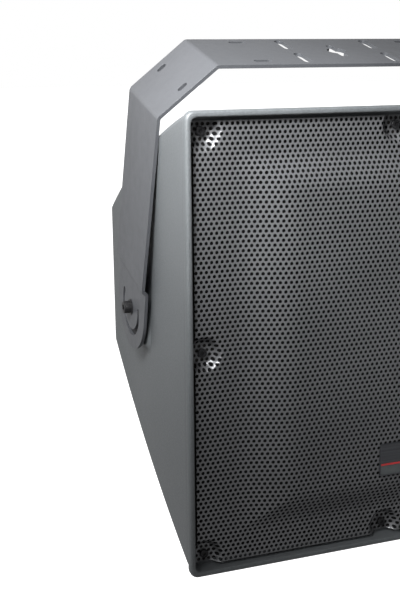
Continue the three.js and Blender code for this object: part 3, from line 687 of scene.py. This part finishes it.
# ---- grille ----
PITCH = 6 * MM
ROW = PITCH * math.sqrt(3) / 2
HOLE = 2.1 * MM
LATTICE = (1.2 * MM, -2.7 * MM)  # a hole's centre, from the middle of the grille
SLOPE = {"outer_x": 0.194, "inner_x": 0.123, "outer_z": 0.218, "inner_z": 0.172}
DIMPLE = {"outer": 0.021, "floor": 0.012, "depth": 0.0092}
SCREW_X, SCREW_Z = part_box("grille_screw_3")[0].x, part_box("grille_screw_3")[0].z
SCREW_HEAD = (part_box("grille_screw_3")[1].x - SCREW_X) / 2
SCREW_X += SCREW_HEAD
SCREW_Z = (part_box("grille_screw_3")[1].z + SCREW_Z) / 2 - CAB.z
DIMPLES = [
    (sx * SCREW_X, sz * SCREW_Z) for sx, sz in
    ((-1, -1), (1, -1), (1, 1), (-1, 1), (-1, 0), (1, 0), (0, -1), (0, 1))
]


def grille_depth(x, z):
    """How far behind the flat margin's front face the sheet lies."""
    across = smoothstep((SLOPE["outer_x"] - np.abs(x)) / (SLOPE["outer_x"] - SLOPE["inner_x"]))
    along = smoothstep((SLOPE["outer_z"] - np.abs(z)) / (SLOPE["outer_z"] - SLOPE["inner_z"]))
    depth = -RAISED * np.minimum(across, along)
    for cx, cz in DIMPLES:
        reach = np.hypot(x - cx, z - cz)
        into = smoothstep((DIMPLE["outer"] - reach) / (DIMPLE["outer"] - DIMPLE["floor"]))
        depth = depth + DIMPLE["depth"] * into
    return depth


def hexagon_corners():
    return [(PITCH / math.sqrt(3) * math.cos(a), PITCH / math.sqrt(3) * math.sin(a))
            for a in (math.radians(30 + 60 * k) for k in range(6))]


def perforated_band(name, rows):
    """Some rows of the perforated sheet: a hexagon of steel round each hole, its shared corners merged."""
    places, cells = {}, []
    corners = hexagon_corners()
    hole = [(HOLE * math.cos(a), HOLE * math.sin(a)) for a in (math.radians(30 * k) for k in range(12))]

    def point(x, z):
        x = min(max(x, -GRILLE_HALF_X), GRILLE_HALF_X)
        z = min(max(z, -GRILLE_HALF_Z), GRILLE_HALF_Z)
        return places.setdefault((round(x * 1e6), round(z * 1e6)), len(places))

    for row in rows:
        z = row * ROW + LATTICE[1]
        shift = (row % 2) * PITCH / 2 + LATTICE[0]
        first = math.ceil((-GRILLE_HALF_X - PITCH / 2 - shift) / PITCH)
        last = math.floor((GRILLE_HALF_X + PITCH / 2 - shift) / PITCH)
        for column in range(first, last + 1):
            x = column * PITCH + shift
            outer = [point(x + dx, z + dz) for dx, dz in corners]
            inner = [point(x + dx, z + dz) for dx, dz in hole]
            for k in range(6):
                a, b = outer[k], outer[(k + 1) % 6]
                ring = [inner[(2 * k + 1) % 12], inner[(2 * k + 2) % 12], inner[(2 * k + 3) % 12]]
                cells.append([a, b, *reversed(ring)])
    flat = np.array(list(places), float) * 1e-6
    faces = []
    for cell in cells:
        kept = [v for i, v in enumerate(cell) if v != cell[i - 1]]
        if len(kept) < 3 or polygon_area(flat[kept]) < 1e-8:
            continue
        faces.append(kept)
    depth = grille_depth(flat[:, 0], flat[:, 1])
    points = np.stack([flat[:, 0], depth, flat[:, 1]], axis=1) + np.array(CAB)
    return thickened(name, points, faces, SHOWN_SHEET)


def polygon_area(points):
    x, z = points.T
    return abs(np.dot(x, np.roll(z, -1)) - np.dot(z, np.roll(x, -1))) / 2


def thickened(name, points, faces, thickness):
    """A closed sheet from its front surface: the back is moved straight back, and open edges get walls."""
    count = len(points)
    back = points + np.array((0, thickness, 0))
    sides = {}
    for face in faces:
        for i, v in enumerate(face):
            w = face[(i + 1) % len(face)]
            if (w, v) in sides:
                del sides[(w, v)]
            else:
                sides[(v, w)] = True
    walls = [(v, count + v, count + w, w) for v, w in sides]
    behind = [[count + v for v in reversed(face)] for face in faces]
    obj = new_mesh(name, np.concatenate([points, back]), [*faces, *behind, *walls], 40)
    used = np.zeros(2 * count, bool)
    for polygon in (*faces, *behind):
        used[list(polygon)] = True
    if not used.all():
        loose = [v for v in range(2 * count) if not used[v]]
        remove_points(obj, loose)
    return outward(obj)


def remove_points(obj, loose):
    shape = bmesh.new()
    shape.from_mesh(obj.data)
    shape.verts.ensure_lookup_table()
    bmesh.ops.delete(shape, geom=[shape.verts[v] for v in loose], context="VERTS")
    shape.to_mesh(obj.data)
    shape.free()


def grille():
    reach = int(GRILLE_HALF_Z / ROW) + 1
    bands = 4
    edges = [round(-reach + (2 * reach + 1) * i / bands) for i in range(bands + 1)]
    for i in range(bands):
        band = perforated_band(f"perforated_grille_{i + 1}", range(edges[i], edges[i + 1]))
        dressed(band, "grille_paint", "cabinet", *(["grille"] if i == 0 else []))


def relief_sheet(name, half_x, half_z, step, offset, thickness):
    """A plain sheet that follows the grille's relief behind it."""
    xs = np.linspace(-half_x, half_x, int(2 * half_x / step) + 1)
    zs = np.linspace(-half_z, half_z, int(2 * half_z / step) + 1)
    grid_x, grid_z = np.meshgrid(xs, zs)
    x, z = grid_x.ravel(), grid_z.ravel()
    points = np.stack([x, grille_depth(x, z) + offset, z], axis=1) + np.array(CAB)
    wide = len(xs)
    faces = [[r * wide + c, r * wide + c + 1, (r + 1) * wide + c + 1, (r + 1) * wide + c]
             for r in range(len(zs) - 1) for c in range(wide - 1)]
    return thickened(name, points, faces, thickness)


def screen():
    inset = 4 * MM
    half_x, half_z = GRILLE_HALF_X - inset, GRILLE_HALF_Z - inset
    sheet = relief_sheet("acoustic_screen", half_x, half_z, 0.006, SHEET + 0.0004, 0.0005)
    dressed(sheet, "screen_cloth", "cabinet", "grille_screen")


# ---- fasteners ----
def hexagon(radius, turn=0.0):
    angles = [turn + k * math.pi / 3 for k in range(6)]
    return [(radius * math.cos(angle), radius * math.sin(angle)) for angle in angles]


def socket_screw(name, place, axis, out, head, height, shank, length, knurls=0, turn=0.0):
    """A socket-head screw seated at place, its head standing out along the axis, towards out (+1, -1)."""
    def wave(angle, k):
        return 1 - 0.035 * (0.5 + 0.5 * math.cos(knurls * angle)) if knurls and 1 < k < 6 else 1.0

    chamfer = head * 0.1
    outline = [
        (shank * 0.82, -length * out),
        (shank, -(length - shank * 0.3) * out),
        (shank, 0),
        (head * 0.96, 0),
        (head, chamfer * 0.4 * out),
        (head, (height - chamfer) * out),
        (head - chamfer * 0.35, (height - chamfer * 0.35) * out),
        (head - chamfer, height * out),
    ]
    sides = max(48, knurls * 6)
    screw = spun(name, outline, place, axis, sides, 40, wave)
    turn_to = AXES[axis]
    pocket = [place + turn_to @ Vector((u, v, 0)) for u, v in hexagon(head * 0.52, turn)]
    along = turn_to @ Vector((0, 0, out))
    cutter = prism("socket", pocket, along, height * 0.45, height * 1.3)
    return boolean(screw, [cutter])


def side_bolts():
    for name, side in (("left", -1), ("right", 1)):
        low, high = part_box(f"pivot_bolt_{name}")
        place = (low + high) / 2
        head, height, shank = (high.z - low.z) / 2, 0.010, 0.005
        place.x = (high.x if side > 0 else low.x) - side * height
        length = (high.x - low.x) - height
        bolt = socket_screw(f"pivot_screw_{name}", place, "x", side, head, height, shank, length, 30, 0.3)
        washer = lathe("washer", washer_outline(shank, head * 1.28, side), place, "x", 48)
        dressed(joined(f"pivot_screw_{name}", [bolt, washer]), "black_steel", "cabinet", f"pivot_bolt_{name}")
        stop_pin(name, side)


def stop_pin(name, side):
    """The plain pin in the curved slot, with a chamfered end."""
    low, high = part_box(f"stop_pin_{name}")
    radius = (high.z - low.z) / 2
    place = (low + high) / 2
    half, chamfer = (high.x - low.x) / 2, radius * 0.25
    outline = [(radius, -half * side), (radius, (half - chamfer) * side), (radius - chamfer, half * side)]
    pin = spun(f"stop_peg_{name}", outline, place, "x", 40, 30)
    dressed(pin, "black_steel", "cabinet", f"stop_pin_{name}")


def washer_outline(inner, outer, side):
    thick = 0.0012
    edge = 0.0003
    inner = inner + 0.0003
    outline = [
        (inner, 0.0001),
        (outer - edge, 0.0001),
        (outer, 0.0001 + edge),
        (outer, thick - edge),
        (outer - edge, thick),
        (inner, thick),
    ]
    return [(radius, side * station) for radius, station in outline]


def small_screws():
    for i in range(1, 9):
        for family, height, shank in (("grille", 0.0032, 0.003), ("woofer", 0.003, 0.0025)):
            replace_screw(f"{family}_screw_{i}", -1, height, shank, i)
    for i in range(1, 5):
        replace_screw(f"cover_screw_{i}", 1, 0.003, 0.0022, i)


def replace_screw(node_name, out, height, shank, i):
    low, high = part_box(node_name)
    seat = low.y + height if out < 0 else high.y - height
    place = Vector(((low.x + high.x) / 2, seat, (low.z + high.z) / 2))
    head = (high.x - low.x) / 2
    length = (high.y - low.y) - height
    made = socket_screw(f"{node_name}_cap", place, "y", out, head, height, shank, length, 0, 0.7 * i)
    dressed(made, "black_steel", "cabinet", node_name)


# ---- bracket ----
LEAN = math.radians(15.1)
STRIP = {"thickness": 0.004, "half": 0.0585, "end_rise": 0.0045}
LINE = [(-0.2453, -0.055), (-0.2453, 0.045), (-0.2504, 0.051), (-0.2438, 0.2725), (-0.1768, 0.3315)]
BENDS = [0.002, 0.002, 0.0075, 0.0075]
PLATE_HEIGHT = 0.3315


def bracket_point(x, y, z):
    """A point drawn from the pivot with z up the arms, in the row frame."""
    turned = Matrix.Rotation(LEAN, 3, "X") @ Vector((x, y, z))
    return PIVOT + turned


def filleted(line, radii, steps=7):
    """A polyline with an arc at each inner corner."""
    points = [Vector(line[0])]
    for corner, radius in zip(range(1, len(line) - 1), radii):
        at = Vector(line[corner])
        before, after = Vector(line[corner - 1]) - at, Vector(line[corner + 1]) - at
        half = before.angle(after) / 2
        reach = min(radius / math.tan(half), before.length * 0.48, after.length * 0.48)
        radius = reach * math.tan(half)
        centre = at + (before.normalized() + after.normalized()).normalized() * (radius / math.sin(half))
        first = at + before.normalized() * reach - centre
        last = at + after.normalized() * reach - centre
        start = math.atan2(first.y, first.x)
        swing = (math.atan2(last.y, last.x) - start + math.pi) % math.tau - math.pi
        points += [Vector(p) for p in arc(centre, radius, start, start + swing, steps)]
    points.append(Vector(line[-1]))
    return points


def bracket_line():
    """The strip's outer line, up the left arm, across the plate and down the right one."""
    left = LINE
    full = left + [(-x, z) for x, z in reversed(left)]
    radii = BENDS + BENDS[::-1]
    return filleted(full, radii)


def inner_line(points):
    """The same line one thickness inside."""
    inside = []
    for i, p in enumerate(points):
        before = p - points[max(i - 1, 0)]
        after = points[min(i + 1, len(points) - 1)] - p
        ways = [v.normalized() for v in (before, after) if v.length > 1e-7]
        way = sum(ways, Vector((0, 0))).normalized()
        normal = Vector((way.y, -way.x))
        mitre = max(normal.dot(Vector((ways[0].y, -ways[0].x))), 0.5)
        inside.append(p + normal * (STRIP["thickness"] / mitre))
    return inside


def bracket_strip():
    outer = bracket_line()
    inner = inner_line(outer)
    count = len(outer)
    half = STRIP["half"]
    points = []
    for side in (-half, half):
        points += [bracket_point(p.x, side, p.y) for p in outer]
        points += [bracket_point(p.x, side, p.y) for p in inner]
    near, far = 0, 2 * count
    faces = []
    for i in range(count - 1):
        faces.append((near + i, near + i + 1, far + i + 1, far + i))
        faces.append((near + count + i, far + count + i, far + count + i + 1, near + count + i + 1))
        faces.append((near + i, near + count + i, near + count + i + 1, near + i + 1))
        faces.append((far + i, far + i + 1, far + count + i + 1, far + count + i))
    for i in (0, count - 1):
        faces.append((near + i, far + i, far + count + i, near + count + i))
    return outward(new_mesh("hanging_bracket", points, faces))


def through_plate(outline, x, y, turn=0.0):
    """A cutter through the plate; the outline's length lies across, or along the depth when turned."""
    c, s = math.cos(turn), math.sin(turn)
    place = [bracket_point(x + c * u - s * v, y + s * u + c * v, PLATE_HEIGHT) for u, v in outline]
    up = bracket_point(0, 0, 1) - bracket_point(0, 0, 0)
    return prism("slot", place, up, -0.02, 0.02)


def through_chamfer(side, y):
    (x0, z0), (x1, z1) = LINE[3], LINE[4]
    middle = Vector(((x0 + x1) / 2, (z0 + z1) / 2))
    way = Vector((x1 - x0, z1 - z0)).normalized()
    place = []
    for u, v in slot_outline(0.013, 0.0085):
        x, z = middle + way * u
        place.append(bracket_point(-side * x, y + v, z))
    out = bracket_point(side * way.y, 0, way.x) - bracket_point(0, 0, 0)
    return prism("slot", place, out, -0.02, 0.02)


def through_arms(outline):
    """A cutter through both arms, its outline in depth and height from the pivot."""
    place = [bracket_point(0, y, z) for y, z in outline]
    return prism("slot", place, (1, 0, 0), -0.28, 0.28)


def arc_slot_outline():
    radius, width, span = 0.0335, 0.008, math.radians(105.5)
    start, end = -math.pi / 2 - span, -math.pi / 2 + span
    tip = (radius * math.cos(end), radius * math.sin(end))
    tail = (radius * math.cos(start), radius * math.sin(start))
    return [
        *arc((0, 0), radius + width / 2, start, end, 48),
        *list(arc(tip, width / 2, end, end + math.pi, 10))[1:-1],
        *arc((0, 0), radius - width / 2, end, start, 48),
        *list(arc(tail, width / 2, start + math.pi, start + math.tau, 10))[1:-1],
    ]


def round_ends():
    """What is cut away below the pivot, outside the arms' round ends."""
    half, rise = STRIP["half"], STRIP["end_rise"]
    edge = half + 0.02
    quarter = list(arc((0, rise), half, math.pi, math.pi * 1.5, 24))
    left = [*quarter, (0, -edge), (-edge, -edge), (-edge, rise)]
    right = [(-y, z) for y, z in left]
    return [through_arms(left), through_arms(right)]


def bracket():
    strip = bracket_strip()
    short, long = slot_outline(0.022, 0.0075), slot_outline(0.041, 0.011)
    cutters = round_ends()
    cutters += [through_plate(short, x, y) for x in (-0.115, 0.115) for y in (-0.042, 0.042)]
    cutters += [through_plate(long, x, y, math.pi / 2) for x in (-0.0585, 0.0585) for y in (-0.030, 0.030)]
    cutters += [through_plate(slot_outline(0.052, 0.009), 0, 0, math.pi / 2)]
    cutters += [through_plate(list(arc((0, 0), 0.012, 0, math.tau, 48))[:-1], 0, 0)]
    cutters += [through_chamfer(side, y) for side in (-1, 1) for y in (-0.040, 0.040)]
    cutters += [through_arms(arc_slot_outline())]
    cutters += [through_arms(list(arc((0, 0), 0.0051, 0, math.tau, 32))[:-1])]
    boolean(strip, cutters)
    merged(strip)
    bevelled(strip, 0.0006, 2, 40)
    dressed(strip, "bracket_paint", "bracket", "u_bracket")


def merged(obj, distance=1e-6):
    shape = bmesh.new()
    shape.from_mesh(obj.data)
    bmesh.ops.remove_doubles(shape, verts=shape.verts, dist=distance)
    bmesh.ops.dissolve_limit(
        shape,
        angle_limit=math.radians(0.4),
        verts=shape.verts,
        edges=shape.edges,
        use_dissolve_boundaries=False,
    )
    shape.to_mesh(obj.data)
    shape.free()
    return obj


# ---- badge ----
def badge():
    """A plain two-tone plate: pewter, with a red line and a grey-green lower band."""
    low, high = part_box("badge_plate")
    middle = (low + high) / 2
    half_x, half_z = (high.x - low.x) / 2, (high.z - low.z) / 2
    back, front = high.y, low.y
    plate = layered_plate("name_plate", middle, half_x, half_z, back, front + 0.0006, front)
    dressed(plate, "badge_pewter", "cabinet", "badge_plate")
    red = enamel("badge_red", (0.30, 0.012, 0.014), (0.40, 0.02, 0.022))
    green = enamel("badge_band", (0.035, 0.042, 0.044), (0.055, 0.062, 0.064))
    for name, material, top, bottom in (("stripe", red, -0.22, -0.34), ("band", green, -0.36, -0.9)):
        z0, z1 = middle.z + top * half_z, middle.z + bottom * half_z
        centre = Vector((middle.x, 0, (z0 + z1) / 2))
        strip = layered_plate(
            f"name_plate_{name}", centre, half_x - 0.0016, (z0 - z1) / 2,
            front - 0.00005, front - 0.0002, front - 0.0004,
        )
        finished(strip, material, "badge_pewter", "cabinet")


def layered_plate(name, centre, half_x, half_z, back, shoulder, front):
    """A thin plate with round corners and a softened front edge."""
    corner = min(0.0025, half_z * 0.4)
    rings = []
    for inset, y in ((0, back), (0, shoulder), (0.0003, front + 0.0001), (0.0006, front)):
        outline = rounded_outline(half_x - inset, half_z - inset, max(corner - inset, 0.0002), 6)
        rings.append([(centre.x + x, y, centre.z + z) for x, z in outline])
    count = len(rings[0])
    points = [p for ring in rings for p in ring]
    faces = ring_faces(len(rings), count, False)
    faces.append(tuple(range(count)))
    faces.append(tuple((len(rings) - 1) * count + i for i in reversed(range(count))))
    return outward(new_mesh(name, points, faces, 40))


# ---- everything else keeps its CAD shape and gets its material ----
NODE_SLOTS = {
    "baffle": "baffle_wood",
    "friction_pad_left": "rubber",
    "friction_pad_right": "rubber",
    "thread_plate_left": "zinc_steel",
    "thread_plate_right": "zinc_steel",
    "woofer_gasket": "rubber",
    "woofer_basket": "basket_paint",
    "surround": "rubber",
    "cone": "cone_paper",
    "spider": "spider_cloth",
    "voice_coil": "copper",
    "front_plate": "zinc_steel",
    "magnet": "ferrite",
    "pole_plate": "zinc_steel",
    "hf_horn": "black_plastic",
    "compression_driver": "basket_paint",
    "crossover_board": "circuit_board",
    "woofer_inductor": "copper",
    "film_capacitor": "capacitor_film",
    "transformer_core": "zinc_steel",
    "transformer_winding": "copper",
    "input_panel": "black_plastic",
    "terminal_block": "black_plastic",
    "tap_switch": "black_plastic",
    "cover_gasket": "rubber",
    "rear_cover": "cabinet_plastic",
    "tap_knob": "black_plastic",
    "cable_gland": "black_plastic",
    "gland_nut": "black_plastic",
}


def dress_nodes():
    for name, slot in NODE_SLOTS.items():
        obj = frame["nodes"][name]
        obj.data.materials.clear()
        obj.data.materials.append(MATERIALS[slot])
        for polygon in obj.data.polygons:
            polygon.material_index = 0


# ---- stage ----
FLOOR_DROP = 0.25
FLOOR_REACH = 30.0
LIGHT_FROM = (-0.85, 0.25, 0.45)
KEY_PLACE = (-0.60, -0.36, 0.66)
KEY_TARGET = (-0.22, 0.0, 0.33)
CAMERA_PLACE = (-0.5781, -0.9722, 0.3113)
CAMERA_FORWARD = (0.32385, 0.91638, -0.23529)
CAMERA_UP = (0.08761, 0.21858, 0.97188)


def floor():
    """Pale ground below the hung object; it is plain white where the camera looks straight at it."""
    ground = cad_low.z - FLOOR_DROP
    mesh = bpy.data.meshes.new("floor")
    corners = [(-1, -1), (1, -1), (1, 1), (-1, 1)]
    mesh.from_pydata([(x * FLOOR_REACH, y * FLOOR_REACH, ground) for x, y in corners], [], [(0, 1, 2, 3)])
    obj = bpy.data.objects.new("floor", mesh)
    bpy.context.scene.collection.objects.link(obj)
    material, shader = principled("floor", roughness=0.9)
    material.node_tree.links.new(
        ramp(material, noise(material, 3, 3), (0.3, (0.50, 0.50, 0.50)), (0.7, (0.53, 0.53, 0.53))),
        shader.inputs["Base Color"],
    )
    shader.inputs["Emission Color"].default_value = (1, 1, 1, 1)
    path = node(material, "ShaderNodeLightPath")
    material.node_tree.links.new(path.outputs["Is Camera Ray"], shader.inputs["Emission Strength"])
    obj.data.materials.append(material)


def lamp(name, place, target, size, power, spread=180):
    light = bpy.data.lights.new(name, "AREA")
    light.shape = "RECTANGLE"
    light.size, light.size_y = size
    light.energy = power
    light.spread = math.radians(spread)
    obj = bpy.data.objects.new(name, light)
    bpy.context.scene.collection.objects.link(obj)
    obj.location = place
    obj.rotation_euler = (Vector(target) - Vector(place)).to_track_quat("-Z", "Y").to_euler()


def studio_world():
    """White to look at, and a soft light that is strongest from the upper left and weak from the front."""
    world = bpy.data.worlds.new("studio")
    world.use_nodes = True
    bpy.context.scene.world = world
    nodes, links = world.node_tree.nodes, world.node_tree.links
    background = nodes["Background"]
    background.inputs["Color"].default_value = (1, 1, 1, 1)
    where = nodes.new("ShaderNodeTexCoord")
    along = nodes.new("ShaderNodeVectorMath")
    along.operation = "DOT_PRODUCT"
    along.inputs[1].default_value = Vector(LIGHT_FROM).normalized()
    links.new(where.outputs["Generated"], along.inputs[0])
    level = nodes.new("ShaderNodeMapRange")
    for key, value in (("From Min", -0.2), ("From Max", 1.0), ("To Min", 0.05), ("To Max", 1.6)):
        level.inputs[key].default_value = value
    links.new(along.outputs["Value"], level.inputs["Value"])
    path = nodes.new("ShaderNodeLightPath")
    strength = nodes.new("ShaderNodeMix")
    strength.data_type = "FLOAT"
    links.new(path.outputs["Is Camera Ray"], strength.inputs[0])
    links.new(level.outputs["Result"], strength.inputs[2])
    strength.inputs[3].default_value = 1.0
    links.new(strength.outputs[0], background.inputs["Strength"])


def lights():
    studio_world()
    bpy.context.scene.view_settings.view_transform = "Standard"
    lamp("key", CAB + Vector(KEY_PLACE), CAB + Vector(KEY_TARGET), (0.3, 0.3), 3.6, spread=50)


def camera():
    """The photograph's viewpoint, in the cabinet's frame."""
    lens = bpy.data.cameras.new("camera")
    lens.sensor_width = 36
    lens.lens = 59.615
    obj = bpy.data.objects.new("camera", lens)
    bpy.context.scene.collection.objects.link(obj)
    forward = Vector(CAMERA_FORWARD).normalized()
    right = forward.cross(Vector(CAMERA_UP)).normalized()
    up = right.cross(forward)
    turn = Matrix((right, up, -forward)).transposed()
    obj.matrix_world = Matrix.Translation(CAB + Vector(CAMERA_PLACE)) @ turn.to_4x4()
    bpy.context.scene.camera = obj


camera()
floor()
lights()
enclosure_shell()
grille()
screen()
side_bolts()
small_screws()
bracket()
badge()
dress_nodes()
